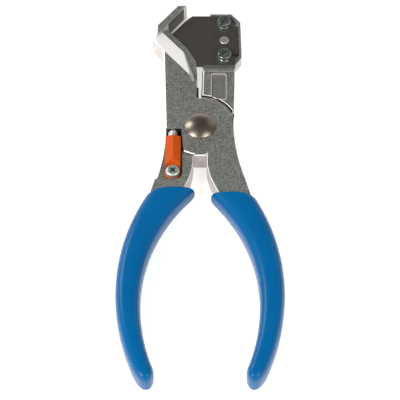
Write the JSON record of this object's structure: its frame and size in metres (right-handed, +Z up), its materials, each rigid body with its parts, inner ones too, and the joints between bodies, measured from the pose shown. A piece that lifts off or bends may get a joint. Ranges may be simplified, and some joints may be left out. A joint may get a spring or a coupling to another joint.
{
  "type": "bow handled cutting pliers",
  "caption": "Lap-jointed hand cutting pliers with a flat knife plate closing on a V-shaped anvil jaw, bow handles with blue grips and a return spring.",
  "frame": {"origin": "on the pivot axis, on the surface the tool lies on, at the centre of the closed end of the rivet", "axes": "+Z up along the pivot axis, +Y towards the jaws, +X towards the blade side"},
  "size_m": [0.0654, 0.1778, 0.0135],
  "materials": {
    "casting": "shot-blasted satin grey casting with bright worn edges",
    "hard_steel": "dark ground tool steel",
    "bright_steel": "bright steel",
    "zinc_steel": "bright zinc-plated steel",
    "rivet_steel": "satin polished dome",
    "orange_plastic": "moulded, semi-gloss",
    "black_rubber": "matt",
    "blue_vinyl": "dip-moulded, smooth semi-gloss"
  },
  "bodies": {
    "blade_side": {"blade_lever": "casting", "blade": "hard_steel", "locating_pin": "bright_steel", "blade_washers": "zinc_steel", "blade_screws": "zinc_steel", "rivet_washer": "zinc_steel", "pivot_rivet": "rivet_steel", "spring_sleeve": "orange_plastic", "sleeve_screw": "zinc_steel", "return_spring": "bright_steel", "left_grip": "blue_vinyl"},
    "anvil_side": {"anvil_lever": "casting", "anvil_plate": "hard_steel", "anvil_pins": "bright_steel", "stop_pad": "black_rubber", "spring_post": "bright_steel", "right_grip": "blue_vinyl"}
  },
  "joints": [
    {"name": "jaw_pivot", "type": "hinge", "parent": "blade_side", "child": "anvil_side", "pos_m": [0, 0, 0.00625], "axis": [0, 0, 1], "range_deg": [-3.1, 0], "stiffness_Nm_per_rad": 0.18, "springref_deg": 31.51, "deforming": ["return_spring"]}
  ]
}
